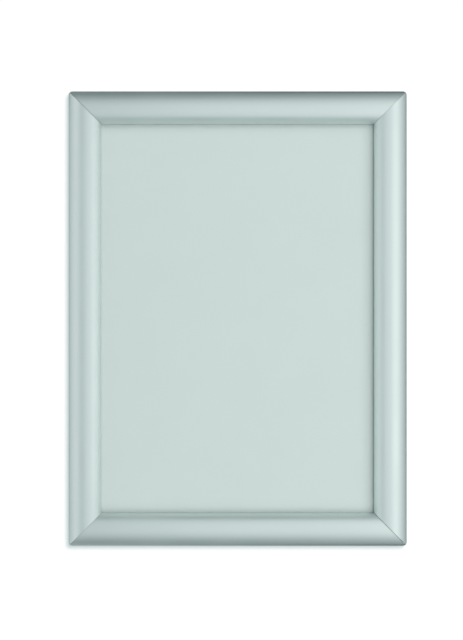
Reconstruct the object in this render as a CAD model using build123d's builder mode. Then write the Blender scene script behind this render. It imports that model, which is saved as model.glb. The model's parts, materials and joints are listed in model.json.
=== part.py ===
from build123d import *
import os
from math import asin, cos, degrees, radians, sin, sqrt

# Snap-open clip frame for one sheet: four mitred base rails with a hinge bead along the outer edge,
# four curved snap rails that turn on those beads, leaf springs, corner keys, back panel and cover sheet.
# Millimetres. X to the right, Z up, the front faces -Y and the back lies on the wall plane Y = 0.
# The origin is the middle of the wall screw pattern, on the wall plane.

# Sheet and frame
sheet_width = 210.0
sheet_height = 297.0
rail_cover = 3.2
rail_width = 24.5
frame_depth = 11.5
corner_radius = 2.0
mitre_gap = 0.24
base_mitre_gap = 0.06

# Base rail extrusion
floor_thickness = 1.2
floor_reach = 26.5
foot_gap = 0.3
neck_thickness = 1.0
bead_radius = 1.5
rib_thickness = 0.9
lip_thickness = 0.6
key_lip = 1.2
spring_lip = 0.6
channel_width = 7.8
stop_clearance = 0.4
edge_break = 0.25

# Snap rail extrusion
pivot_height = 5.0
lip_inset = 0.055
snap_wall = 1.2
bead_clearance = 0.06
socket_wall = 0.95
nose_radius = 0.25
lip_radius = 0.2
nose_clearance = 0.1
opening_angle = 95.0
stop_angle = 3.0
leg_reach = 3.5
leg_angle = 26.0
seat_radius = 0.4
leg_setback = 0.5

# Corner keys and their grub screws
key_thickness = 1.3
key_length = 32.0
key_slack = 0.1
key_side_gap = 0.2
key_corner_radius = 1.0
screw_radius = 2.0
screw_length = 1.9
screw_clearance = 0.04
screw_inset = 9.0
socket_flats = 2.0
hex_depth = 1.0

# Leaf springs
spring_thickness = 0.3
spring_length = 12.0
spring_rise_share = 0.16
spring_tip_gap = 0.12
short_spring_spread = 140.0
long_spring_spread = 200.0

# Back panel and cover sheet
panel_thickness = 1.7
cover_thickness = 0.5
sheet_corner_radius = 0.8

# Wall screw holes in the floors of the top and bottom base rails
hole_radius = 2.1
hole_spacing_across = 120.0

overrun = 1.0

# Sizes that follow from those above
opening_width = sheet_width - 2 * rail_cover
opening_height = sheet_height - 2 * rail_cover
frame_width = opening_width + 2 * rail_width
frame_height = opening_height + 2 * rail_width
sheet_inset = rail_width - rail_cover
panel_top = floor_thickness + panel_thickness
cover_top = panel_top + cover_thickness
nose_height = cover_top + nose_clearance

neck_half_angle = degrees(asin(neck_thickness / 2 / bead_radius))
socket_start = 270 + neck_half_angle + stop_angle
socket_end = 270 - neck_half_angle - stop_angle - opening_angle
socket_inner = bead_radius + bead_clearance
socket_outer = socket_inner + socket_wall
pivot_inset = lip_inset - socket_outer * cos(radians(socket_end))
pivot = (pivot_inset, pivot_height)
foot_height = pivot_height - socket_outer - foot_gap

# The front arc reaches the frame's depth at its crown, ends at the nose, and touches the socket's
# outer circle from outside, which gives a quadratic for the crown's place across the rail.
nose_drop = frame_depth - nose_height
socket_drop = frame_depth - pivot_height - socket_outer
square_term = 1 / socket_drop - 1 / nose_drop
linear_term = 2 * (rail_width / nose_drop - pivot_inset / socket_drop)
crown_term = pivot_inset**2 / socket_drop - rail_width**2 / nose_drop
fixed_term = crown_term + socket_drop + 2 * socket_outer - nose_drop
crown_inset = (sqrt(linear_term**2 - 4 * square_term * fixed_term) - linear_term) / (2 * square_term)
front_radius = ((rail_width - crown_inset) ** 2 + nose_drop**2) / (2 * nose_drop)
front_centre = (crown_inset, frame_depth - front_radius)

leg_end = socket_start + leg_angle
leg_middle = socket_start + leg_angle / 2
lip_trim_angle = 180 - opening_angle / 2 - stop_angle
end_setback = pivot_inset + leg_reach + leg_setback
trim_top = pivot_height + socket_outer / 2

stop_rib_end = sheet_inset - stop_clearance
stop_rib_inset = stop_rib_end - rib_thickness
spring_rib_inset = stop_rib_inset - channel_width - rib_thickness
key_inset = stop_rib_inset - channel_width / 2
key_width = channel_width - 2 * key_side_gap
key_top = floor_thickness + key_slack + key_thickness
lip_top = key_top + lip_thickness


def around_pivot(radius, angle):
    """Point of a rail's section at a distance and an angle from the hinge line."""
    turn = radians(angle)
    return (pivot_inset + radius * cos(turn), pivot_height + radius * sin(turn))


# Parts of a snap rail's section that are cut away near the mitres, each with the length of the cut.
# The leg and the lower half of the socket would swing into the next rail's hinge, and the end of
# the socket's lip would meet the next rail's lip with both rails open.
leg_zone = [
    (pivot_inset, 0),
    (pivot_inset + leg_reach, 0),
    (pivot_inset + leg_reach, trim_top),
    (pivot_inset, trim_top),
]
lip_zone = [pivot, around_pivot(2 * leg_reach, lip_trim_angle), around_pivot(2 * leg_reach, 180)]
end_trims = [(leg_zone, end_setback), (lip_zone, pivot_inset)]

# Each side has a section plane at its middle: local x runs inward from the frame's outer edge,
# local y outward from the wall, and the plane's normal along the rail. A rail opens by turning
# about that normal, by the right-hand rule.
sides = {
    "top": (Plane(origin=(0, 0, frame_height / 2), x_dir=(0, 0, -1), z_dir=(-1, 0, 0)), frame_width),
    "bottom": (Plane(origin=(0, 0, -frame_height / 2), x_dir=(0, 0, 1), z_dir=(1, 0, 0)), frame_width),
    "left": (Plane(origin=(-frame_width / 2, 0, 0), x_dir=(1, 0, 0), z_dir=(0, 0, -1)), frame_height),
    "right": (Plane(origin=(frame_width / 2, 0, 0), x_dir=(-1, 0, 0), z_dir=(0, 0, 1)), frame_height),
}

# The front of the frame, seen square on: x to the right, y up, the normal out of the wall.
front = Plane.XZ


def mitre_outline(side, reach, gap):
    """The four corners, on the front plane, of the strip that one mitred rail covers."""
    half_width = frame_width / 2
    half_height = frame_height / 2
    trim = gap / sqrt(2)
    if side in ("top", "bottom"):
        edge = half_height if side == "top" else -half_height
        inner = edge - reach if side == "top" else edge + reach
        outer_end = half_width - trim
        inner_end = outer_end - reach
        return [(-outer_end, edge), (outer_end, edge), (inner_end, inner), (-inner_end, inner)]
    edge = half_width if side == "right" else -half_width
    inner = edge - reach if side == "right" else edge + reach
    outer_end = half_height - trim
    inner_end = outer_end - reach
    return [(edge, -outer_end), (edge, outer_end), (inner, inner_end), (inner, -inner_end)]


os.makedirs("parts", exist_ok=True)

# Base rails: floor, foot, neck and hinge bead, and two ribs whose lips hold the corner keys
for side, (plane, length) in sides.items():
    with BuildPart() as base_rail:
        with BuildSketch(plane) as base_section:
            Rectangle(floor_reach, floor_thickness, align=Align.MIN)
            Rectangle(pivot_inset + neck_thickness / 2, foot_height, align=Align.MIN)
            with Locations((pivot_inset, 0)):
                Rectangle(neck_thickness, pivot_height, align=(Align.CENTER, Align.MIN))
            with Locations(pivot):
                Circle(bead_radius)
            with Locations((spring_rib_inset, 0)):
                Rectangle(rib_thickness, lip_top, align=Align.MIN)
            with Locations((spring_rib_inset - spring_lip, key_top)):
                Rectangle(spring_lip + rib_thickness + key_lip, lip_thickness, align=Align.MIN)
            with Locations((stop_rib_inset - key_lip, key_top)):
                Rectangle(key_lip + rib_thickness, lip_thickness, align=Align.MIN)
            with Locations((stop_rib_inset, 0)):
                Rectangle(rib_thickness, lip_top, align=Align.MIN)
            for corner in ((0, foot_height), (pivot_inset - neck_thickness / 2, foot_height)):
                chamfer(base_section.vertices().sort_by_distance(corner)[0], edge_break)
        extrude(amount=length / 2, both=True)
        with BuildSketch(front):
            Polygon(*mitre_outline(side, floor_reach, base_mitre_gap), align=None)
            RectangleRounded(frame_width, frame_height, corner_radius, mode=Mode.INTERSECT)
        extrude(amount=frame_depth, mode=Mode.INTERSECT)
        if side in ("top", "bottom"):
            hole_height = frame_height / 2 - key_inset
            with BuildSketch(front):
                with Locations((0, hole_height if side == "top" else -hole_height)):
                    with GridLocations(hole_spacing_across, 0, 2, 1):
                        Circle(hole_radius)
            extrude(amount=floor_thickness, mode=Mode.SUBTRACT)
    base_rail.part.label = f"base_rail_{side}"
    export_step(base_rail.part, f"parts/base_rail_{side}.step")

# Snap rails: curved front wall, part-round socket on the hinge bead, and a short spring leg
for side, (plane, length) in sides.items():
    with BuildPart() as snap_rail:
        with BuildSketch(plane) as snap_section:
            with Locations(front_centre):
                Circle(front_radius)
                Circle(front_radius - snap_wall, mode=Mode.SUBTRACT)
            with Locations((0, nose_height)):
                Rectangle(2 * rail_width, frame_depth, align=(Align.CENTER, Align.MIN), mode=Mode.INTERSECT)
            with Locations(pivot):
                Circle(socket_outer)
            Polygon(
                pivot,
                around_pivot(leg_reach, socket_start),
                around_pivot(leg_reach, leg_end),
                align=None,
            )
            with Locations(pivot):
                Circle(socket_inner, mode=Mode.SUBTRACT)
            Polygon(
                pivot,
                around_pivot(2 * leg_reach, socket_end),
                around_pivot(2 * leg_reach, (socket_end + socket_start) / 2),
                around_pivot(2 * leg_reach, socket_start),
                align=None,
                mode=Mode.SUBTRACT,
            )
            with Locations(around_pivot(leg_reach, leg_middle)):
                Circle(seat_radius, mode=Mode.SUBTRACT)
            fillet(snap_section.vertices().sort_by_distance((rail_width, nose_height))[0], nose_radius)
            fillet(
                snap_section.vertices().sort_by_distance(around_pivot(socket_outer, socket_end))[0],
                lip_radius,
            )
        extrude(amount=length / 2, both=True)
        with BuildSketch(front):
            Polygon(*mitre_outline(side, rail_width, mitre_gap), align=None)
            RectangleRounded(frame_width, frame_height, corner_radius, mode=Mode.INTERSECT)
        extrude(amount=frame_depth, mode=Mode.INTERSECT)
        for zone, setback in end_trims:
            for end in (-length / 2, length / 2 - setback):
                with BuildSketch(plane.offset(end)):
                    Polygon(*zone, align=None)
                extrude(amount=setback, mode=Mode.SUBTRACT)
    snap_rail.part.label = f"snap_rail_{side}"
    export_step(snap_rail.part, f"parts/snap_rail_{side}.step")

# Corner keys: flat L-shaped plates under the lips of the two base rails that meet at each corner,
# and the two grub screws in each key that press on the floor
corners = {
    "top_left": (-1, 1),
    "top_right": (1, 1),
    "bottom_left": (-1, -1),
    "bottom_right": (1, -1),
}
for corner, (across, up) in corners.items():
    corner_x = across * (frame_width / 2 - key_inset)
    corner_z = up * (frame_height / 2 - key_inset)
    screw_reach = key_length - key_width / 2 - screw_inset
    screw_places = [
        (corner_x - across * screw_reach, corner_z),
        (corner_x, corner_z - up * screw_reach),
    ]
    with BuildPart() as corner_key:
        with BuildSketch(front.offset(floor_thickness + key_slack)):
            with Locations((corner_x + across * key_width / 2, corner_z)):
                side_align = Align.MAX if across > 0 else Align.MIN
                Rectangle(key_length, key_width, align=(side_align, Align.CENTER))
            with Locations((corner_x, corner_z + up * key_width / 2)):
                end_align = Align.MAX if up > 0 else Align.MIN
                Rectangle(key_width, key_length, align=(Align.CENTER, end_align))
        extrude(amount=key_thickness)
        inner_corner = (corner_x - across * key_width / 2, -floor_thickness, corner_z - up * key_width / 2)
        fillet(corner_key.edges().filter_by(Axis.Y).sort_by_distance(inner_corner)[1:], key_corner_radius)
        with BuildSketch(front.offset(floor_thickness)):
            with Locations(*screw_places):
                Circle(screw_radius + screw_clearance)
        extrude(amount=key_slack + key_thickness + overrun, mode=Mode.SUBTRACT)
    corner_key.part.label = f"corner_key_{corner}"
    export_step(corner_key.part, f"parts/corner_key_{corner}.step")

    with BuildPart() as key_screws:
        with BuildSketch(front.offset(floor_thickness)):
            with Locations(*screw_places):
                Circle(screw_radius)
        extrude(amount=screw_length)
        with BuildSketch(front.offset(floor_thickness + screw_length)):
            with Locations(*screw_places):
                RegularPolygon(socket_flats / 2, side_count=6, major_radius=False)
        extrude(amount=-hex_depth, mode=Mode.SUBTRACT)
    key_screws.part.label = f"key_screws_{corner}"
    export_step(key_screws.part, f"parts/key_screws_{corner}.step")

# Leaf springs: short bowed strips between the foot of the spring rib and the snap rail's leg
short_places = {"left": -short_spring_spread / 2, "right": short_spring_spread / 2}
long_places = {"lower": -long_spring_spread / 2, "middle": 0, "upper": long_spring_spread / 2}
leg_tip = around_pivot(leg_reach + spring_tip_gap, leg_middle)
rib_foot = (spring_rib_inset - spring_tip_gap, floor_thickness + spring_thickness)
spring_rise = spring_rise_share * (rib_foot[0] - leg_tip[0])
bow_top = ((leg_tip[0] + rib_foot[0]) / 2, (leg_tip[1] + rib_foot[1]) / 2 + spring_rise)
for side, (plane, _) in sides.items():
    level = side in ("top", "bottom")
    for place, along in (short_places if level else long_places).items():
        shift = Vector(along, 0, 0) if level else Vector(0, 0, along)
        middle = Plane(origin=plane.origin + shift, x_dir=plane.x_dir, z_dir=plane.z_dir)
        with BuildPart() as leaf_spring:
            with BuildSketch(middle):
                with BuildLine():
                    ThreePointArc(leg_tip, bow_top, rib_foot)
                trace(line_width=spring_thickness)
            extrude(amount=spring_length / 2, both=True)
        leaf_spring.part.label = f"leaf_spring_{side}_{place}"
        export_step(leaf_spring.part, f"parts/leaf_spring_{side}_{place}.step")

# Back panel: a stiff board that lies on the floors of the base rails
with BuildPart() as back_panel:
    with BuildSketch(front.offset(floor_thickness)):
        RectangleRounded(sheet_width, sheet_height, sheet_corner_radius)
    extrude(amount=panel_thickness)
back_panel.part.label = "back_panel"
export_step(back_panel.part, "parts/back_panel.step")

# Cover sheet: a clear film that lies on the panel, under the noses of the snap rails
with BuildPart() as cover_sheet:
    with BuildSketch(front.offset(panel_top)):
        RectangleRounded(sheet_width, sheet_height, sheet_corner_radius)
    extrude(amount=cover_thickness)
cover_sheet.part.label = "cover_sheet"
export_step(cover_sheet.part, "parts/cover_sheet.step")
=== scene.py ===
import json
from math import acos, asin, atan2, cos, pi, radians, sin, sqrt

import bpy
from mathutils import Matrix, Vector


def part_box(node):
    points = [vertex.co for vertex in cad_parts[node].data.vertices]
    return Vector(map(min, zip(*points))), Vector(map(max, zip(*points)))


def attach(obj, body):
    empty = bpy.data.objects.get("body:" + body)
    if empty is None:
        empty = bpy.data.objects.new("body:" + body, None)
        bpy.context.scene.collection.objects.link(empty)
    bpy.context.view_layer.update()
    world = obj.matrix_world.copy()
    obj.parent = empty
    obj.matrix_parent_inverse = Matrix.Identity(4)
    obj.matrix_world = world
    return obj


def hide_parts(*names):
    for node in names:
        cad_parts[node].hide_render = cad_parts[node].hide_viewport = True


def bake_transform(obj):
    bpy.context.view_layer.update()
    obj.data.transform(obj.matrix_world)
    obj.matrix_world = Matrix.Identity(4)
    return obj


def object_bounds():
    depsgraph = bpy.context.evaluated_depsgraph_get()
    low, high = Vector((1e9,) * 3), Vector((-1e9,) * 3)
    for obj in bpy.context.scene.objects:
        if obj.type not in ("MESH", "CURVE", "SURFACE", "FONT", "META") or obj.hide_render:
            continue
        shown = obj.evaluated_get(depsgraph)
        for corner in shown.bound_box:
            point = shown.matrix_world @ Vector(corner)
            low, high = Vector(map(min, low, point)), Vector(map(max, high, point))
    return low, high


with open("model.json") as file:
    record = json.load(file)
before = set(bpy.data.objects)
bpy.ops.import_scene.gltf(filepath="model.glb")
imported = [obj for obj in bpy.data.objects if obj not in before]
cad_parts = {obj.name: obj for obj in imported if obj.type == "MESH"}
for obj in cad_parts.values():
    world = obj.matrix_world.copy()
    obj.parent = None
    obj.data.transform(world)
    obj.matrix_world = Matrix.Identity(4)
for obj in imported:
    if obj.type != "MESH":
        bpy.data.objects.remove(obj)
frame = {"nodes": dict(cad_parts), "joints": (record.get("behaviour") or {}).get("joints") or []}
cad_low, cad_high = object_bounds()
frame_width, frame_depth, frame_height = cad_high - cad_low

# Base rails: four aluminium extrusions, satin anodised and then cut at 45 degrees, so the cut ends are bare.
# Each has a floor against the wall, a hinge bead along its outer edge, and two lipped ribs for the keys.
# The bottom rail's place is the pattern for all four: the others are turned about the middle of the frame.
side_turns = {"bottom": 0, "left": pi / 2, "top": pi, "right": -pi / 2}
base_edge_break = 0.0001
edge_steps = 2
smooth_angle = radians(32)
flat_angle = radians(0.5)
weld_distance = 0.000001
cut_match = 0.999
line_scale = 1400
line_stretch = 0.004
wide_line_part = 0.22
wide_line_share = 0.4
pit_share = 0.35
haze_share = 0.5
cloud_range = (0.3, 0.7)
line_depth = 0.00002
saw_scale = 2600
saw_depth = 0.00003


def add_node(tree, kind, inputs=None, **settings):
    """Adds a shader node with its settings, and gives each named input a value or the socket it reads."""
    made = tree.nodes.new(kind)
    for key, value in settings.items():
        setattr(made, key, value)
    for key, value in (inputs or {}).items():
        if isinstance(value, bpy.types.NodeSocket):
            tree.links.new(value, made.inputs[key])
        else:
            made.inputs[key].default_value = value
    return made


def mixed_colour(tree, factor, first, second):
    """The colour between two, by a factor that changes over the surface."""
    mix = add_node(tree, "ShaderNodeMix", data_type="RGBA")
    tree.links.new(factor, mix.inputs[0])
    mix.inputs[6].default_value = (*first, 1)
    mix.inputs[7].default_value = (*second, 1)
    return mix.outputs[2]


def start_group(name, inputs, outputs):
    """Starts a shader node group with named sockets, and returns its tree and its two ends."""
    tree = bpy.data.node_groups.new(name, "ShaderNodeTree")
    for socket, (kind, value) in inputs.items():
        made = tree.interface.new_socket(socket, in_out="INPUT", socket_type=kind)
        made.default_value = value
    for socket in outputs:
        tree.interface.new_socket(socket, in_out="OUTPUT", socket_type="NodeSocketFloat")
    return tree, tree.nodes.new("NodeGroupInput").outputs, tree.nodes.new("NodeGroupOutput").inputs


def noise(tree, vector, scale, detail):
    """Soft noise of a scale, with so many finer layers."""
    inputs = {"Vector": vector, "Scale": scale, "Detail": detail}
    return add_node(tree, "ShaderNodeTexNoise", inputs).outputs[0]


def make_extrusion_grain():
    """Die lines along an extrusion's own X, a cloudy haze from the anodising bath, and fine etched pits."""
    tree, given, result = start_group(
        "Extrusion grain",
        {
            "Vector": ("NodeSocketVector", (0, 0, 0)),
            "Line Scale": ("NodeSocketFloat", line_scale),
            "Haze Scale": ("NodeSocketFloat", 24),
            "Pit Scale": ("NodeSocketFloat", 9000),
        },
        ("Lines", "Haze", "Height"),
    )
    stretched = {0: given["Vector"], 1: (line_stretch, 1, 1)}
    drawn_out = add_node(tree, "ShaderNodeVectorMath", stretched, operation="MULTIPLY").outputs[0]
    widened = {0: given["Line Scale"], 1: wide_line_part}
    wide_scale = add_node(tree, "ShaderNodeMath", widened, operation="MULTIPLY").outputs[0]
    fine = noise(tree, drawn_out, given["Line Scale"], 3)
    wide = noise(tree, drawn_out, wide_scale, 2)
    haze = noise(tree, given["Vector"], given["Haze Scale"], 5)
    pits = noise(tree, given["Vector"], given["Pit Scale"], 1)
    lines = add_node(tree, "ShaderNodeMix", {0: wide_line_share, 2: fine, 3: wide}).outputs[0]
    height = add_node(tree, "ShaderNodeMix", {0: pit_share, 2: lines, 3: pits}).outputs[0]
    tree.links.new(lines, result["Lines"])
    tree.links.new(haze, result["Haze"])
    tree.links.new(height, result["Height"])
    return tree


extrusion_grain = make_extrusion_grain()


def grained_metal(name, turn, scale):
    """Starts a metal with the extrusion grain turned by three angles. Gives it, its shader and the grain."""
    material = bpy.data.materials.new(name)
    material.use_nodes = True
    tree = material.node_tree
    shader = tree.nodes["Principled BSDF"]
    shader.inputs["Metallic"].default_value = 1
    place = add_node(tree, "ShaderNodeTexCoord").outputs["Object"]
    turned = add_node(tree, "ShaderNodeMapping", {"Vector": place, "Rotation": turn}).outputs[0]
    grain = add_node(tree, "ShaderNodeGroup", node_tree=extrusion_grain)
    tree.links.new(turned, grain.inputs["Vector"])
    grain.inputs["Line Scale"].default_value = scale
    return material, shader, grain.outputs


def set_gloss(shader, value, span, gloss):
    """Lets roughness run between the two of gloss, as a value runs over its span."""
    tree = shader.id_data
    ends = {"From Min": span[0], "From Max": span[1], "To Min": gloss[0], "To Max": gloss[1]}
    rough = add_node(tree, "ShaderNodeMapRange", {"Value": value, **ends})
    tree.links.new(rough.outputs[0], shader.inputs["Roughness"])


def set_relief(shader, height, strength, depth):
    """Gives a surface its fine relief."""
    tree = shader.id_data
    relief = add_node(tree, "ShaderNodeBump", {"Height": height, "Strength": strength, "Distance": depth})
    tree.links.new(relief.outputs[0], shader.inputs["Normal"])


def anodised(name, pale, deep, gloss, turn, bump):
    """Satin anodised aluminium with its grain along X, or along Z where turn is a quarter turn about Y."""
    material, shader, grain = grained_metal(name, (0, turn, 0), line_scale)
    tree = material.node_tree
    shade = add_node(tree, "ShaderNodeMix", {0: haze_share, 2: grain["Lines"], 3: grain["Haze"]}).outputs[0]
    tree.links.new(mixed_colour(tree, shade, deep, pale), shader.inputs["Base Color"])
    set_gloss(shader, grain["Haze"], cloud_range, gloss)
    set_relief(shader, grain["Height"], bump, line_depth)
    return material


def sawn(name, pale, deep, gloss, bump):
    """Bare aluminium as a fine saw leaves it: bright, with close marks straight across the cut."""
    material, shader, grain = grained_metal(name, (0, 0, pi / 2), saw_scale)
    tree = material.node_tree
    tree.links.new(mixed_colour(tree, grain["Lines"], deep, pale), shader.inputs["Base Color"])
    set_gloss(shader, grain["Lines"], (0, 1), gloss)
    set_relief(shader, grain["Lines"], bump, saw_depth)
    return material


def both_ways(name, pale, deep, gloss, bump):
    """The finish with its grain level, for the top and bottom rails, and upright, for the side rails."""
    return {
        "level": anodised(f"{name}_level", pale, deep, gloss, 0, bump),
        "upright": anodised(f"{name}_upright", pale, deep, gloss, pi / 2, bump),
    }


def rail_finish(side, finish):
    """The finish whose grain runs along that side's rail."""
    return finish["level"] if side in ("top", "bottom") else finish["upright"]


def rail_half(side):
    """Distance from the middle of the frame to that side's outer edge."""
    return frame_height / 2 if side in ("top", "bottom") else frame_width / 2


def rail_length(side):
    """Length of that side's rail along its outer edge."""
    return frame_width if side in ("top", "bottom") else frame_height


def at(side, along, inward, outward):
    """A point of a rail, with the rail in the bottom one's place."""
    return Vector((along, -outward, inward - rail_half(side)))


def in_place(side, point):
    """The same point with the rail in its own place."""
    return Matrix.Rotation(side_turns[side], 3, "Y") @ point


def only(piece):
    """Makes a piece the only selected one, and the active one."""
    bpy.ops.object.select_all(action="DESELECT")
    piece.select_set(True)
    bpy.context.view_layer.objects.active = piece


def apply_modifier(piece, kind, **settings):
    """Adds a modifier to a piece and applies it."""
    only(piece)
    modifier = piece.modifiers.new(kind.lower(), kind)
    for key, value in settings.items():
        setattr(modifier, key, value)
    bpy.ops.object.modifier_apply(modifier=modifier.name)


def break_edges(piece, width):
    """Rounds a piece's sharp edges over a small width, and shades it smooth with its long faces untilted."""
    sharp = {"limit_method": "ANGLE", "angle_limit": smooth_angle}
    apply_modifier(piece, "BEVEL", width=width, segments=edge_steps, **sharp)
    bpy.ops.object.shade_smooth_by_angle(angle=smooth_angle)
    apply_modifier(piece, "WEIGHTED_NORMAL", mode="FACE_AREA", weight=100, keep_sharp=True)


def finished_copy(node, name, edge_break):
    """Copies a node's mesh, joins its loose triangles into whole faces, and breaks the sharp edges."""
    piece = bpy.data.objects.new(name, frame["nodes"][node].data.copy())
    piece.data.name = name
    bpy.context.collection.objects.link(piece)
    only(piece)
    bpy.ops.mesh.customdata_custom_splitnormals_clear()
    bpy.ops.object.mode_set(mode="EDIT")
    bpy.ops.mesh.select_all(action="SELECT")
    bpy.ops.mesh.remove_doubles(threshold=weld_distance)
    bpy.ops.mesh.dissolve_limited(angle_limit=flat_angle)
    bpy.ops.object.mode_set(mode="OBJECT")
    break_edges(piece, edge_break)
    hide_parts(node)
    return piece


def wear(piece, *materials):
    """Gives a piece its materials, in the order of its slots."""
    piece.data.materials.clear()
    for material in materials:
        piece.data.materials.append(material)


def bare_ends(piece, side, bare):
    """Gives the two mitred ends of a rail the bare metal of the saw cut."""
    piece.data.materials.append(bare)
    facings = [in_place(side, Vector((end, 0, 1)).normalized()) for end in (-1, 1)]
    for face in piece.data.polygons:
        if max(face.normal.dot(facing) for facing in facings) > cut_match:
            face.material_index = 1


cut_metal = sawn(
    "sawn_aluminium", pale=(0.80, 0.81, 0.82), deep=(0.60, 0.61, 0.62), gloss=(0.25, 0.45), bump=0.5
)
base_finish = both_ways(
    "base_aluminium", pale=(0.70, 0.75, 0.745), deep=(0.56, 0.61, 0.61), gloss=(0.34, 0.46), bump=0.25
)
for side in side_turns:
    base_rail = finished_copy(f"base_rail_{side}", f"base_extrusion_{side}", base_edge_break)
    wear(base_rail, rail_finish(side, base_finish))
    bare_ends(base_rail, side, cut_metal)
    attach(base_rail, "base")

# Corner keys: flat L-shaped steel plates, zinc plated, that slide into the channels of two base rails.
# Two black grub screws in each press on the floor and jam the key under the lips of the ribs.
key_edge_break = 0.00012
screw_edge_break = 0.00008
skin_depth = 0.00002
plate_cells = 0.4
plate_clouds = 0.6
plate_stipple = 14


def make_fine_texture():
    """Small cells, slow clouds and a fine even stipple, for plated, moulded and rolled surfaces."""
    tree, given, result = start_group(
        "Fine texture",
        {
            "Vector": ("NodeSocketVector", (0, 0, 0)),
            "Cell Scale": ("NodeSocketFloat", 700),
            "Cloud Scale": ("NodeSocketFloat", 400),
            "Grain Scale": ("NodeSocketFloat", 9000),
        },
        ("Cells", "Clouds", "Grain"),
    )
    cells = add_node(tree, "ShaderNodeTexVoronoi", {"Vector": given["Vector"], "Scale": given["Cell Scale"]})
    tree.links.new(cells.outputs["Distance"], result["Cells"])
    tree.links.new(noise(tree, given["Vector"], given["Cloud Scale"], 6), result["Clouds"])
    tree.links.new(noise(tree, given["Vector"], given["Grain Scale"], 2), result["Grain"])
    return tree


fine_texture = make_fine_texture()


def textured(name, pale, deep, gloss, scales, cells=0.0, bump=0.3, depth=skin_depth):
    """A surface of slightly changing shade and gloss with a stippled skin, and its shader. Scales are those
    of its cells, clouds and stipple, and cells is their share of the shade."""
    material = bpy.data.materials.new(name)
    material.use_nodes = True
    tree = material.node_tree
    shader = tree.nodes["Principled BSDF"]
    texture = add_node(tree, "ShaderNodeGroup", node_tree=fine_texture)
    tree.links.new(add_node(tree, "ShaderNodeTexCoord").outputs["Object"], texture.inputs["Vector"])
    for socket, scale in zip(("Cell Scale", "Cloud Scale", "Grain Scale"), scales):
        texture.inputs[socket].default_value = scale
    shades = {0: cells, 2: texture.outputs["Clouds"], 3: texture.outputs["Cells"]}
    shade = add_node(tree, "ShaderNodeMix", shades).outputs[0]
    tree.links.new(mixed_colour(tree, shade, deep, pale), shader.inputs["Base Color"])
    set_gloss(shader, texture.outputs["Clouds"], cloud_range, gloss)
    set_relief(shader, texture.outputs["Grain"], bump, depth)
    return material, shader


def plated(name, pale, deep, gloss, cell_scale):
    """Plated, blued or blackened steel."""
    scales = (cell_scale, cell_scale * plate_clouds, cell_scale * plate_stipple)
    material, shader = textured(name, pale, deep, gloss, scales, cells=plate_cells)
    shader.inputs["Metallic"].default_value = 1
    return material


zinc_plate = plated(
    "zinc_plate", pale=(0.66, 0.67, 0.66), deep=(0.46, 0.47, 0.48), gloss=(0.3, 0.5), cell_scale=700
)
black_oxide = plated(
    "black_oxide", pale=(0.06, 0.06, 0.065), deep=(0.025, 0.025, 0.03), gloss=(0.35, 0.55), cell_scale=900
)
for corner in ("top_left", "top_right", "bottom_left", "bottom_right"):
    key = finished_copy(f"corner_key_{corner}", f"key_plate_{corner}", key_edge_break)
    wear(key, zinc_plate)
    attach(key, "base")
    screws = finished_copy(f"key_screws_{corner}", f"grub_screws_{corner}", screw_edge_break)
    wear(screws, black_oxide)
    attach(screws, "base")

# Leaf springs: short bowed strips of blued spring steel, between the foot of a base rail's rib and the leg of
# its snap rail. In the real frame they are pushed over centre and bend as the rail turns; here each keeps one
# bow.
# Places across a rail are measured inward from the frame's outer edge, and outward from the wall.
spring_thickness = 0.0003
spring_length = 0.012
spring_foot = (0.01118, 0.0015)
spring_tip = (0.00438, 0.00205)
spring_rise = 0.00109
spring_steps = 18
spring_edge_break = 0.00006
start_size = 0.01
spring_places = {
    "bottom": {"left": -0.07, "right": 0.07},
    "top": {"left": 0.07, "right": -0.07},
    "left": {"lower": 0.1, "middle": 0, "upper": -0.1},
    "right": {"lower": -0.1, "middle": 0, "upper": 0.1},
}


def start_outline(name, point):
    """Starts a piece as one vertex: a small plane whose corners are merged at its middle."""
    bpy.ops.object.select_all(action="DESELECT")
    bpy.ops.mesh.primitive_plane_add(size=start_size, location=point)
    piece = bpy.context.object
    piece.name = name
    piece.data.name = name
    bpy.ops.object.transform_apply()
    bpy.ops.object.mode_set(mode="EDIT")
    bpy.ops.mesh.select_all(action="SELECT")
    bpy.ops.mesh.merge(type="CENTER")
    return piece


def run_by(step):
    """Extrudes what is selected by a step."""
    bpy.ops.mesh.extrude_region_move(TRANSFORM_OT_translate={"value": step})


def swing_by(side, along, centre, turn, steps):
    """Extrudes what is selected round a centre of the section. Spin turns against the right-hand rule."""
    bpy.ops.mesh.spin(steps=steps, angle=-turn, center=at(side, along, *centre), axis=(1, 0, 0))


def circle_centre(first, last, rise):
    """Centre and half angle of the arc between two points that rises that far above its chord."""
    chord = Vector(last) - Vector(first)
    radius = (chord.length_squared / 4 + rise**2) / (2 * rise)
    out = Vector((-chord.y, chord.x)).normalized()
    middle = (Vector(first) + Vector(last)) / 2
    return middle + out * (rise - radius), asin(chord.length / 2 / radius)


def turn_into_place(piece, side):
    """Turns a piece made in the bottom rail's place to its own side of the frame."""
    only(piece)
    piece.rotation_euler = (0, side_turns[side], 0)
    bpy.ops.object.transform_apply()


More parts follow.
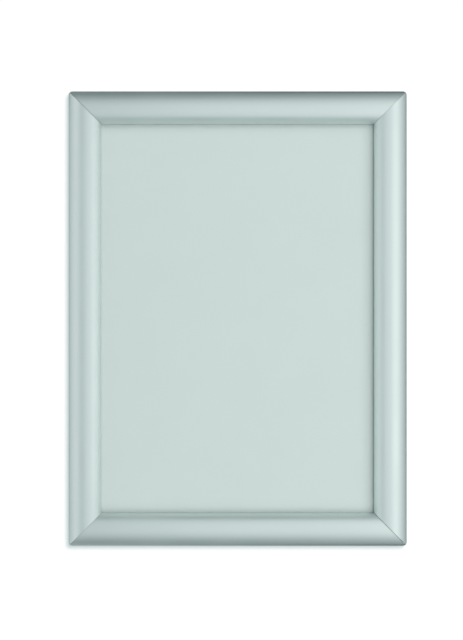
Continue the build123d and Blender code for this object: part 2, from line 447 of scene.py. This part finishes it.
spring_steel = plated(
    "blued_spring_steel", pale=(0.34, 0.37, 0.42), deep=(0.2, 0.22, 0.27), gloss=(0.22, 0.36), cell_scale=500
)
arc_centre, arc_half = circle_centre(spring_tip, spring_foot, spring_rise)
for side, places in spring_places.items():
    for place, along in places.items():
        leaf = start_outline(f"spring_leaf_{side}_{place}", at(side, along - spring_length / 2, *spring_foot))
        run_by((spring_length, 0, 0))
        bpy.ops.mesh.select_all(action="SELECT")
        swing_by(side, along, arc_centre, 2 * arc_half, spring_steps)
        bpy.ops.object.mode_set(mode="OBJECT")
        apply_modifier(leaf, "SOLIDIFY", thickness=spring_thickness, offset=0)
        break_edges(leaf, spring_edge_break)
        turn_into_place(leaf, side)
        wear(leaf, spring_steel)
        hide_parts(f"leaf_spring_{side}_{place}")
        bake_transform(leaf)

# Snap rails: four curved aluminium extrusions that hold the cover down with their inner edge, the nose. A
# part-round socket turns on the base rail's bead, and the leg beside it carries the leaf springs. They are
# anodised like the base rails, cut at 45 degrees and deburred, and two of the mitres stand open by a hair.
rail_width = 0.0245
corner_radius = 0.002
mitre_gaps = {"top_left": 0.0003, "top_right": 0.00012, "bottom_left": 0.00012, "bottom_right": 0.00034}
end_corners = {
    "bottom": ("bottom_left", "bottom_right"),
    "left": ("top_left", "bottom_left"),
    "top": ("top_right", "top_left"),
    "right": ("bottom_right", "top_right"),
}
front_radius = 0.01481
snap_wall = 0.0012
nose_height = 0.0035
nose_radius = 0.00025
lip_radius = 0.0002
socket_inner = 0.00156
socket_outer = 0.00251
socket_start = radians(-67.5)
socket_end = radians(152.5)
leg_reach = 0.0035
leg_angle = radians(26)
leg_end = socket_start + leg_angle
seat_radius = 0.0004
leg_setback = 0.0005
lip_trim_angle = radians(129.5)
arc_step = 0.0004
least_steps = 6
round_steps = 5
corner_steps = 12
outline_weld = 0.000002
deburr_width = 0.00009
overrun = 0.001
mostly = 0.9

hinge = next(joint for joint in frame["joints"] if joint["name"] == "bottom_rail_hinge")["pos_m"]
pivot = Vector((hinge[2] + frame_height / 2, -hinge[1]))
crown_depth = frame_depth - front_radius
crown_inset = rail_width - sqrt(front_radius**2 - (nose_height - crown_depth) ** 2)
front_centre = Vector((crown_inset, crown_depth))


def around(centre, radius, angle):
    """A point of the rail's section at a distance and an angle from a centre."""
    return centre + radius * Vector((cos(angle), sin(angle)))


def angle_from(centre, point):
    """The angle at which a point of the section lies from a centre."""
    return atan2(point[1] - centre[1], point[0] - centre[0])


def snap_section():
    """The section's start, its runs, each a line to a point or a turn about a centre, and its outer lip."""
    inner_radius = front_radius - snap_wall
    nose = Vector((rail_width, nose_height))
    brow = Vector((0, crown_depth + sqrt(front_radius**2 - crown_inset**2)))
    apart = (pivot - front_centre).length
    lean = acos((inner_radius**2 - apart**2 - socket_outer**2) / (2 * apart * socket_outer))
    join_angle = angle_from(front_centre, pivot) - lean
    join = around(pivot, socket_outer, join_angle)
    nose_angle = asin((nose_height - crown_depth) / inner_radius)
    seat = around(pivot, leg_reach, socket_start + leg_angle / 2)
    leg_edge = leg_reach * cos(leg_angle / 2)
    half_seat = acos((leg_edge - leg_reach) / seat_radius)
    seat_start = around(seat, seat_radius, socket_start + leg_angle / 2 - half_seat)
    return nose, [
        (front_centre, angle_from(front_centre, brow) - angle_from(front_centre, nose)),
        (None, around(pivot, socket_inner, socket_end)),
        (pivot, socket_start - socket_end),
        (None, around(pivot, leg_reach, socket_start)),
        (None, seat_start),
        (seat, 2 * half_seat - 2 * pi),
        (None, around(pivot, leg_reach, leg_end)),
        (None, around(pivot, socket_outer, leg_end)),
        (pivot, join_angle - leg_end),
        (front_centre, nose_angle - angle_from(front_centre, join)),
        (None, nose),
    ], brow


def select_at(piece, point, within=0.00001):
    """Selects only the vertices that lie at a point."""
    bpy.ops.mesh.select_all(action="DESELECT")
    bpy.ops.object.mode_set(mode="OBJECT")
    for vertex in piece.data.vertices:
        vertex.select = (vertex.co - point).length < within
    bpy.ops.object.mode_set(mode="EDIT")


def add_block(low, high, turn=0.0, about=None, corner=None):
    """A box between two corners to cut with. It may be turned about a point, and have round corners."""
    low, high = Vector(low), Vector(high)
    bpy.ops.object.select_all(action="DESELECT")
    bpy.ops.mesh.primitive_cube_add(size=1, location=(low + high) / 2)
    block = bpy.context.object
    block.scale = high - low
    bpy.ops.object.transform_apply()
    if turn:
        turned = Matrix.Translation(about) @ Matrix.Rotation(turn, 4, "X") @ Matrix.Translation(-about)
        block.matrix_world = turned
        bpy.ops.object.transform_apply()
    if corner:
        for edge in block.data.edges:
            first, last = (block.data.vertices[v].co for v in edge.vertices)
            edge.select = abs((last - first).normalized().y) > mostly
        bpy.context.tool_settings.mesh_select_mode = (False, True, False)
        bpy.ops.object.mode_set(mode="EDIT")
        bpy.ops.mesh.bevel(offset=corner, segments=corner_steps)
        bpy.ops.object.mode_set(mode="OBJECT")
        bpy.context.tool_settings.mesh_select_mode = (True, False, False)
    return block


def cut_with(piece, block, operation="DIFFERENCE"):
    """Cuts a piece with a block, and takes the block away."""
    apply_modifier(piece, "BOOLEAN", object=block, operation=operation, solver="EXACT")
    bpy.data.objects.remove(block)


def snap_rail(side):
    """One snap rail, made in the bottom rail's place and turned to its own side."""
    half, length = rail_half(side), rail_length(side)
    start, runs, brow = snap_section()
    rail = start_outline(f"front_rail_{side}", at(side, -length / 2, *start))
    spot = start
    for centre, value in runs:
        if centre is None:
            run_by((0, spot[1] - value[1], value[0] - spot[0]))
            spot = value
        else:
            steps = max(least_steps, round(abs(value) * (spot - centre).length / arc_step))
            swing_by(side, -length / 2, centre, value, steps)
            spot = centre + Matrix.Rotation(value, 2) @ (spot - centre)
    bpy.ops.mesh.select_all(action="SELECT")
    bpy.ops.mesh.remove_doubles(threshold=outline_weld)
    bpy.ops.mesh.edge_face_add()
    for corner, radius in ((start, nose_radius), (brow, lip_radius)):
        select_at(rail, at(side, -length / 2, *corner))
        bpy.ops.mesh.bevel(affect="VERTICES", offset=radius, segments=round_steps)
    bpy.ops.mesh.select_all(action="SELECT")
    run_by((length, 0, 0))
    bpy.ops.mesh.select_all(action="SELECT")
    bpy.ops.mesh.normals_make_consistent(inside=False)
    for end, corner in zip((-1, 1), end_corners[side]):
        trim = mitre_gaps[corner] / sqrt(2)
        bpy.ops.mesh.select_all(action="SELECT")
        mitre = (end * (length / 2 - trim), 0, -half)
        bpy.ops.mesh.bisect(plane_co=mitre, plane_no=(end, 0, 1), use_fill=True, clear_outer=True)
    bpy.ops.object.mode_set(mode="OBJECT")
    outline_low = (-length / 2, -frame_depth - overrun, -half)
    outline_high = (length / 2, overrun, half)
    cut_with(rail, add_block(outline_low, outline_high, corner=corner_radius), "INTERSECT")
    setback = pivot[0] + leg_reach + leg_setback
    for end in (-1, 1):
        near, far = sorted((end * (length / 2 - setback), end * (length / 2 + overrun)))
        leg_low = at(side, near, pivot[0], pivot[1] + socket_outer / 2)
        leg_high = at(side, far, pivot[0] + leg_reach, 0)
        cut_with(rail, add_block(leg_low, leg_high))
        near, far = sorted((end * (length / 2 - pivot[0]), end * (length / 2 + overrun)))
        lip_low = at(side, near, pivot[0], pivot[1] + 2 * leg_reach)
        lip_high = at(side, far, pivot[0] + 2 * leg_reach, pivot[1])
        cut_with(rail, add_block(lip_low, lip_high, lip_trim_angle, about=at(side, 0, *pivot)))
    break_edges(rail, deburr_width)
    turn_into_place(rail, side)
    return rail


front_finish = both_ways(
    "front_aluminium", pale=(0.805, 0.872, 0.855), deep=(0.74, 0.802, 0.785), gloss=(0.37, 0.45), bump=0.5
)
for side in side_turns:
    front_rail = snap_rail(side)
    wear(front_rail, rail_finish(side, front_finish))
    bare_ends(front_rail, side, cut_metal)
    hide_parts(f"snap_rail_{side}")
    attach(front_rail, f"{side}_rail")

# Back panel: a stiff board of pale, matt plastic cut to the sheet's size, with its edges slightly broken. It
# lies on the floors of the base rails, and its face shows evenly through the cover.
board_edge_break = 0.0002
board_sheen = 0.35
board, board_shader = textured(
    "matt_board",
    pale=(0.658, 0.725, 0.698),
    deep=(0.626, 0.695, 0.668),
    gloss=(0.55, 0.68),
    scales=(900, 22, 5200),
    bump=0.35,
    depth=0.00003,
)
board_shader.inputs["Specular IOR Level"].default_value = board_sheen
back_board = finished_copy("back_panel", "back_board", board_edge_break)
wear(back_board, board)
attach(back_board, "base")

# Cover: a clear anti-glare film of the board's size, held down on it by the noses of the snap rails. It is
# clear except for a faint frost, and its finely pitted face spreads what it reflects.
film_air_gap = 0.00006
film_corner = 0.0008
film_corner_steps = 6
film_edge_break = 0.00008
film_frost = 0.07

film_low, film_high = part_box("cover_sheet")
bpy.ops.object.select_all(action="DESELECT")
bpy.ops.mesh.primitive_plane_add(size=1, rotation=(pi / 2, 0, 0))
clear_cover = bpy.context.object
clear_cover.name = clear_cover.data.name = "clear_cover"
clear_cover.scale = (film_high.x - film_low.x, film_high.z - film_low.z, 1)
clear_cover.location.y = film_high.y - film_air_gap
bpy.ops.object.transform_apply()
bpy.ops.object.mode_set(mode="EDIT")
bpy.ops.mesh.select_all(action="SELECT")
bpy.ops.mesh.bevel(affect="VERTICES", offset=film_corner, segments=film_corner_steps)
bpy.ops.mesh.select_all(action="SELECT")
run_by((0, film_low.y - film_high.y + film_air_gap, 0))
bpy.ops.mesh.select_all(action="SELECT")
bpy.ops.mesh.normals_make_consistent(inside=False)
bpy.ops.object.mode_set(mode="OBJECT")
break_edges(clear_cover, film_edge_break)
film, film_shader = textured(
    "anti_glare_film",
    pale=(0.93, 0.965, 0.96),
    deep=(0.89, 0.93, 0.925),
    gloss=(0.38, 0.46),
    scales=(1500, 14, 7000),
    bump=0.25,
    depth=0.000015,
)
film_shader.inputs["Alpha"].default_value = film_frost
wear(clear_cover, film)
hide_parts("cover_sheet")
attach(clear_cover, "base")

# Stage: a white wall that the frame hangs on, with an opening behind the frame so that its back can be lit
# and seen, and a pale floor. Neither is part of the object, and both are clear from behind.
bpy.context.scene.view_settings.view_transform = "Standard"
wall_half = 3.0
wall_back = 0.0005
wall_opening = 0.001
floor_drop = 0.9
# The wall's paint is pinkish and its glow greenish, so that it clips to white in full light while a shadow on
# it takes a painted cool green tint; the floor's are nearer grey.
wall_colour = (0.78, 0.65, 0.665)
wall_lift = (0.475, 0.55, 0.538)
floor_colour = (0.8, 0.78, 0.78)
floor_lift = (0.475, 0.49, 0.48)


def maths(tree, operation, first, second):
    """The result of one operation on two values or sockets."""
    return add_node(tree, "ShaderNodeMath", {0: first, 1: second}, operation=operation).outputs[0]


def shown_white(tree):
    """One for the camera and for what metal and glass show it, and nought for rays that carry the light."""
    path = add_node(tree, "ShaderNodeLightPath").outputs
    seen = maths(tree, "MAXIMUM", path["Is Camera Ray"], path["Is Glossy Ray"])
    seen = maths(tree, "MAXIMUM", seen, path["Is Transmission Ray"])
    not_spread_yet = maths(tree, "LESS_THAN", path["Diffuse Depth"], 0.5)
    return maths(tree, "MULTIPLY", seen, not_spread_yet)


def blank_material(name):
    """A material with only its output node, its tree, and that node's surface input."""
    material = bpy.data.materials.new(name)
    material.use_nodes = True
    tree = material.node_tree
    tree.nodes.clear()
    return material, tree, tree.nodes.new("ShaderNodeOutputMaterial").inputs["Surface"]


def backdrop_material(name, paint_colour, lift_colour):
    """Matt paint with a lift: a glow of its own, so that it is clean white where no shadow falls and a shadow
    on it stays pale. It lets the light of the room and the lamps pass, and is clear from behind."""
    material, tree, surface = blank_material(name)
    shown = shown_white(tree)
    front_side = maths(tree, "SUBTRACT", 1.0, add_node(tree, "ShaderNodeNewGeometry").outputs["Backfacing"])
    paint = add_node(tree, "ShaderNodeBsdfDiffuse", {"Color": (*paint_colour, 1)})
    glow = add_node(tree, "ShaderNodeEmission", {"Color": (*lift_colour, 1)})
    front = add_node(tree, "ShaderNodeAddShader")
    tree.links.new(paint.outputs[0], front.inputs[0])
    tree.links.new(glow.outputs[0], front.inputs[1])
    clear = add_node(tree, "ShaderNodeBsdfTransparent")
    mix = add_node(tree, "ShaderNodeMixShader", {0: maths(tree, "MULTIPLY", shown, front_side)})
    tree.links.new(clear.outputs[0], mix.inputs[1])
    tree.links.new(front.outputs[0], mix.inputs[2])
    tree.links.new(mix.outputs[0], surface)
    material.cycles.emission_sampling = "NONE"
    return material


def flat_card(name, low, high):
    """A flat rectangle that faces the front, between two corners given as x and z."""
    bpy.ops.object.select_all(action="DESELECT")
    bpy.ops.mesh.primitive_plane_add(size=1, rotation=(pi / 2, 0, 0))
    card = bpy.context.object
    card.name = name
    bpy.ops.object.transform_apply()
    card.scale = (high[0] - low[0], 1, high[1] - low[1])
    card.location = ((low[0] + high[0]) / 2, 0, (low[1] + high[1]) / 2)
    bpy.ops.object.transform_apply()
    return card


def cut_opening(card, y, half_width, half_height):
    """Sets a card at its place and leaves an upright opening in it, round the middle of the frame."""
    only(card)
    card.location.y = y
    bpy.ops.object.transform_apply()
    bpy.ops.object.mode_set(mode="EDIT")
    for offset, normal in (
        ((half_width, 0, 0), (1, 0, 0)),
        ((-half_width, 0, 0), (1, 0, 0)),
        ((0, 0, half_height), (0, 0, 1)),
        ((0, 0, -half_height), (0, 0, 1)),
    ):
        bpy.ops.mesh.select_all(action="SELECT")
        bpy.ops.mesh.bisect(plane_co=offset, plane_no=normal)
    bpy.ops.object.mode_set(mode="OBJECT")
    for face in card.data.polygons:
        face.select = abs(face.center.x) < half_width and abs(face.center.z) < half_height
    bpy.context.tool_settings.mesh_select_mode = (False, False, True)
    bpy.ops.object.mode_set(mode="EDIT")
    bpy.ops.mesh.delete(type="FACE")
    bpy.ops.object.mode_set(mode="OBJECT")
    bpy.context.tool_settings.mesh_select_mode = (True, False, False)


wall = flat_card("wall", (-wall_half, -wall_half), (wall_half, wall_half))
cut_opening(wall, wall_back, frame_width / 2 - wall_opening, frame_height / 2 - wall_opening)
wear(wall, backdrop_material("wall_paint", wall_colour, wall_lift))

bpy.ops.object.select_all(action="DESELECT")
bpy.ops.mesh.primitive_plane_add(size=2 * wall_half, location=(0, 0, -floor_drop))
floor = bpy.context.object
floor.name = "floor"
bpy.ops.object.transform_apply()
wear(floor, backdrop_material("floor_paint", floor_colour, floor_lift))

# Studio light: a faint, cool, even room that shows white, two large soft lamps at the upper and lower right,
# two weaker ones above and below, and one behind for the back. One more lights only the wall and the floor.
room_level = 0.2
room_tint = (0.72, 1.0, 1.0)
lamps = (
    ("upper_right_lamp", (3.1, -2.4, 2.5), 2.2, 0.325),
    ("lower_right_lamp", (3.1, -2.4, -2.5), 2.2, 0.305),
    ("upper_lamp", (0.3, -2.0, 3.0), 1.0, 0.1),
    ("lower_lamp", (0.3, -2.0, -3.0), 1.0, 0.1),
)
wall_lamp = ("wall_lamp", (1.75, -5.6, 1.85), 2.8, 0.62)
back_lamp = ("back_lamp", (-1.2, 2.8, 1.6), 1.6, 0.6)

world = bpy.data.worlds.new("room")
bpy.context.scene.world = world
world.use_nodes = True
room = world.node_tree.nodes["Background"]
shown = shown_white(world.node_tree)
level = add_node(world.node_tree, "ShaderNodeMapRange", {"Value": shown, "To Min": room_level, "To Max": 1.0})
world.node_tree.links.new(level.outputs[0], room.inputs["Strength"])
tint = mixed_colour(world.node_tree, shown, room_tint, (1, 1, 1))
world.node_tree.links.new(tint, room.inputs["Color"])


def soft_lamp(name, place, size, share):
    """A square soft lamp aimed at the frame. With shares that add up to one, a colour shows as written."""
    light = bpy.data.lights.new(name, "AREA")
    light.size = size
    light.energy = share * pi**2 * Vector(place).length ** 3 / abs(place[1])
    lamp = bpy.data.objects.new(name, light)
    bpy.context.collection.objects.link(lamp)
    lamp.location = place
    lamp.rotation_euler = (-Vector(place)).to_track_quat("-Z", "Y").to_euler()
    lamp.visible_camera = False
    lamp.visible_glossy = False
    return lamp


wall_and_floor = bpy.data.collections.new("wall_and_floor")
all_but_those = bpy.data.collections.new("all_but_the_wall_and_floor")
for backdrop in (wall, floor):
    wall_and_floor.objects.link(backdrop)
    all_but_those.objects.link(backdrop)
for member in all_but_those.collection_objects:
    member.light_linking.link_state = "EXCLUDE"
for lamp in lamps:
    soft_lamp(*lamp).light_linking.receiver_collection = all_but_those
soft_lamp(*wall_lamp).light_linking.receiver_collection = wall_and_floor
soft_lamp(*back_lamp)

# Light tent: a box of white cloth over the front of the frame, a skirt flat on the wall round it, and a card
# beside each side rail. Only the metal reflects them, and they give the rails their bands. Each pair of
# numbers is a place in metres from the frame's middle, and how brightly the cloth glows there.
tent_half = (0.9, 0.8)
tent_front = -0.25
tent_margin = 0.003
tent_glow = 1.2
tent_red = 0.988
shade_tint = 1.1
tent_across = (
    (-0.9, 0.78), (-0.6, 0.68), (-0.4, 0.73), (-0.3, 0.7), (-0.22, 0.59), (-0.14, 0.58), (-0.06, 0.79),
    (0.0, 0.87), (0.06, 0.79), (0.12, 0.86), (0.18, 1.07), (0.24, 1.16), (0.32, 1.05), (0.42, 0.79),
    (0.6, 0.84), (0.9, 1.2),
)
tent_upward = (
    (-0.8, 0.46), (-0.56, 0.54), (-0.42, 0.68), (-0.33, 0.83), (-0.24, 0.96), (-0.16, 1.03), (0.0, 1.0),
    (0.16, 1.03), (0.24, 0.95), (0.33, 0.81), (0.42, 0.66), (0.56, 0.48), (0.8, 0.36),
)
skirt_off_wall = 0.0002
skirt_across = ((-0.9, 0.42), (-0.13, 0.42), (0.13, 0.05), (0.9, 0.05))
skirt_upward = ((-0.8, 1.2), (-0.17, 1.2), (-0.16, 1), (0.16, 1), (0.17, 0.64), (0.8, 0.64))
card_gap = 0.05
card_half = 0.3
card_upward = ((-0.8, 1), (0.8, 1))


def glow_ramp(tree, axis, half, stops):
    """The colour of the glow along one axis of the tent. Where it is dimmer, it is a little greener."""
    spot = add_node(tree, "ShaderNodeTexCoord").outputs["Object"]
    along = add_node(tree, "ShaderNodeSeparateXYZ", {"Vector": spot}).outputs[axis]
    part = add_node(tree, "ShaderNodeMapRange", {"Value": along, "From Min": -half, "From Max": half})
    ramp = add_node(tree, "ShaderNodeValToRGB", {"Fac": part.outputs[0]})
    ramp.color_ramp.interpolation = "LINEAR"
    marks = ramp.color_ramp.elements
    marks.remove(marks[1])
    for i, (place, glow) in enumerate(stops):
        position = (place + half) / (2 * half)
        mark = marks[0] if i == 0 else marks.new(position)
        mark.position = position
        level = glow / tent_glow
        mark.color = (tent_red * level**shade_tint, level, level, 1)
    return ramp.outputs["Color"]


def tent_material(name, across, upward, inside):
    """Cloth whose glow changes across and upward, and that shows from one side only."""
    material, tree, surface = blank_material(name)
    sideways = glow_ramp(tree, "X", tent_half[0], across)
    upright = glow_ramp(tree, "Z", tent_half[1], upward)
    ramps = {0: 1.0, 6: sideways, 7: upright}
    both = add_node(tree, "ShaderNodeMix", ramps, data_type="RGBA", blend_type="MULTIPLY")
    glow = add_node(tree, "ShaderNodeEmission", {"Color": both.outputs[2], "Strength": tent_glow**2})
    lit_side = add_node(tree, "ShaderNodeNewGeometry").outputs["Backfacing"]
    if not inside:
        lit_side = maths(tree, "SUBTRACT", 1.0, lit_side)
    mix = add_node(tree, "ShaderNodeMixShader", {0: maths(tree, "MULTIPLY", lit_side, shown_white(tree))})
    clear = add_node(tree, "ShaderNodeBsdfTransparent")
    tree.links.new(clear.outputs[0], mix.inputs[1])
    tree.links.new(glow.outputs[0], mix.inputs[2])
    tree.links.new(mix.outputs[0], surface)
    material.cycles.emission_sampling = "NONE"
    return material


def seen_in_metal_only(card):
    """Hides the cloth from the camera and from the lighting."""
    for ray in ("camera", "diffuse", "transmission", "volume_scatter", "shadow"):
        setattr(card, f"visible_{ray}", False)


bpy.ops.object.select_all(action="DESELECT")
bpy.ops.mesh.primitive_cube_add(size=1)
tent = bpy.context.object
tent.name = "tent"
tent.scale = (2 * tent_half[0], -tent_front, 2 * tent_half[1])
tent.location = (0, tent_front / 2, 0)
bpy.ops.object.transform_apply()
for face in tent.data.polygons:
    face.select = face.normal.y > mostly
bpy.context.tool_settings.mesh_select_mode = (False, False, True)
bpy.ops.object.mode_set(mode="EDIT")
bpy.ops.mesh.delete(type="FACE")
bpy.ops.object.mode_set(mode="OBJECT")
bpy.context.tool_settings.mesh_select_mode = (True, False, False)
wear(tent, tent_material("tent_cloth", tent_across, tent_upward, inside=True))
seen_in_metal_only(tent)

skirt = flat_card("tent_skirt", (-tent_half[0], -tent_half[1]), tent_half)
cut_opening(skirt, skirt_off_wall, frame_width / 2 + tent_margin, frame_height / 2 + tent_margin)
wear(skirt, tent_material("skirt_cloth", skirt_across, skirt_upward, inside=False))
seen_in_metal_only(skirt)


def side_card(name, side, near, far, glow):
    """A narrow upright strip of cloth that stands off the wall beside the frame, and faces it."""
    bpy.ops.object.select_all(action="DESELECT")
    bpy.ops.mesh.primitive_plane_add(size=1, rotation=(0, -side * pi / 2, 0))
    card = bpy.context.object
    card.name = name
    bpy.ops.object.transform_apply()
    card.scale = (1, far - near, 2 * card_half)
    card.location = (side * (frame_width / 2 + card_gap), -(near + far) / 2, 0)
    bpy.ops.object.transform_apply()
    even = ((-tent_half[0], glow), (tent_half[0], glow))
    wear(card, tent_material(f"{name}_cloth", even, card_upward, inside=False))
    seen_in_metal_only(card)


side_card("right_card", 1, near=0, far=0.032, glow=0.6)
side_card("left_card", -1, near=0.035, far=0.115, glow=0.84)

# Camera: square on to the frame, and far enough away that the rails look almost parallel. The middle of the
# frame lies a little right of the picture's middle and above it, at a place given in the photo's pixels.
photo_size = (463, 640)
frame_middle = (237.7, 318.55)
metres_per_pixel = 0.0007489
focal_length = 200
sensor_long_side = 36
camera = bpy.data.objects.new("camera", bpy.data.cameras.new("camera"))
bpy.context.collection.objects.link(camera)
camera.data.lens = focal_length
camera.data.sensor_width = sensor_long_side
camera.location = (
    (photo_size[0] / 2 - frame_middle[0]) * metres_per_pixel,
    -photo_size[1] * metres_per_pixel * focal_length / sensor_long_side,
    (frame_middle[1] - photo_size[1] / 2) * metres_per_pixel,
)
camera.rotation_euler = (pi / 2, 0, 0)
bpy.context.scene.camera = camera
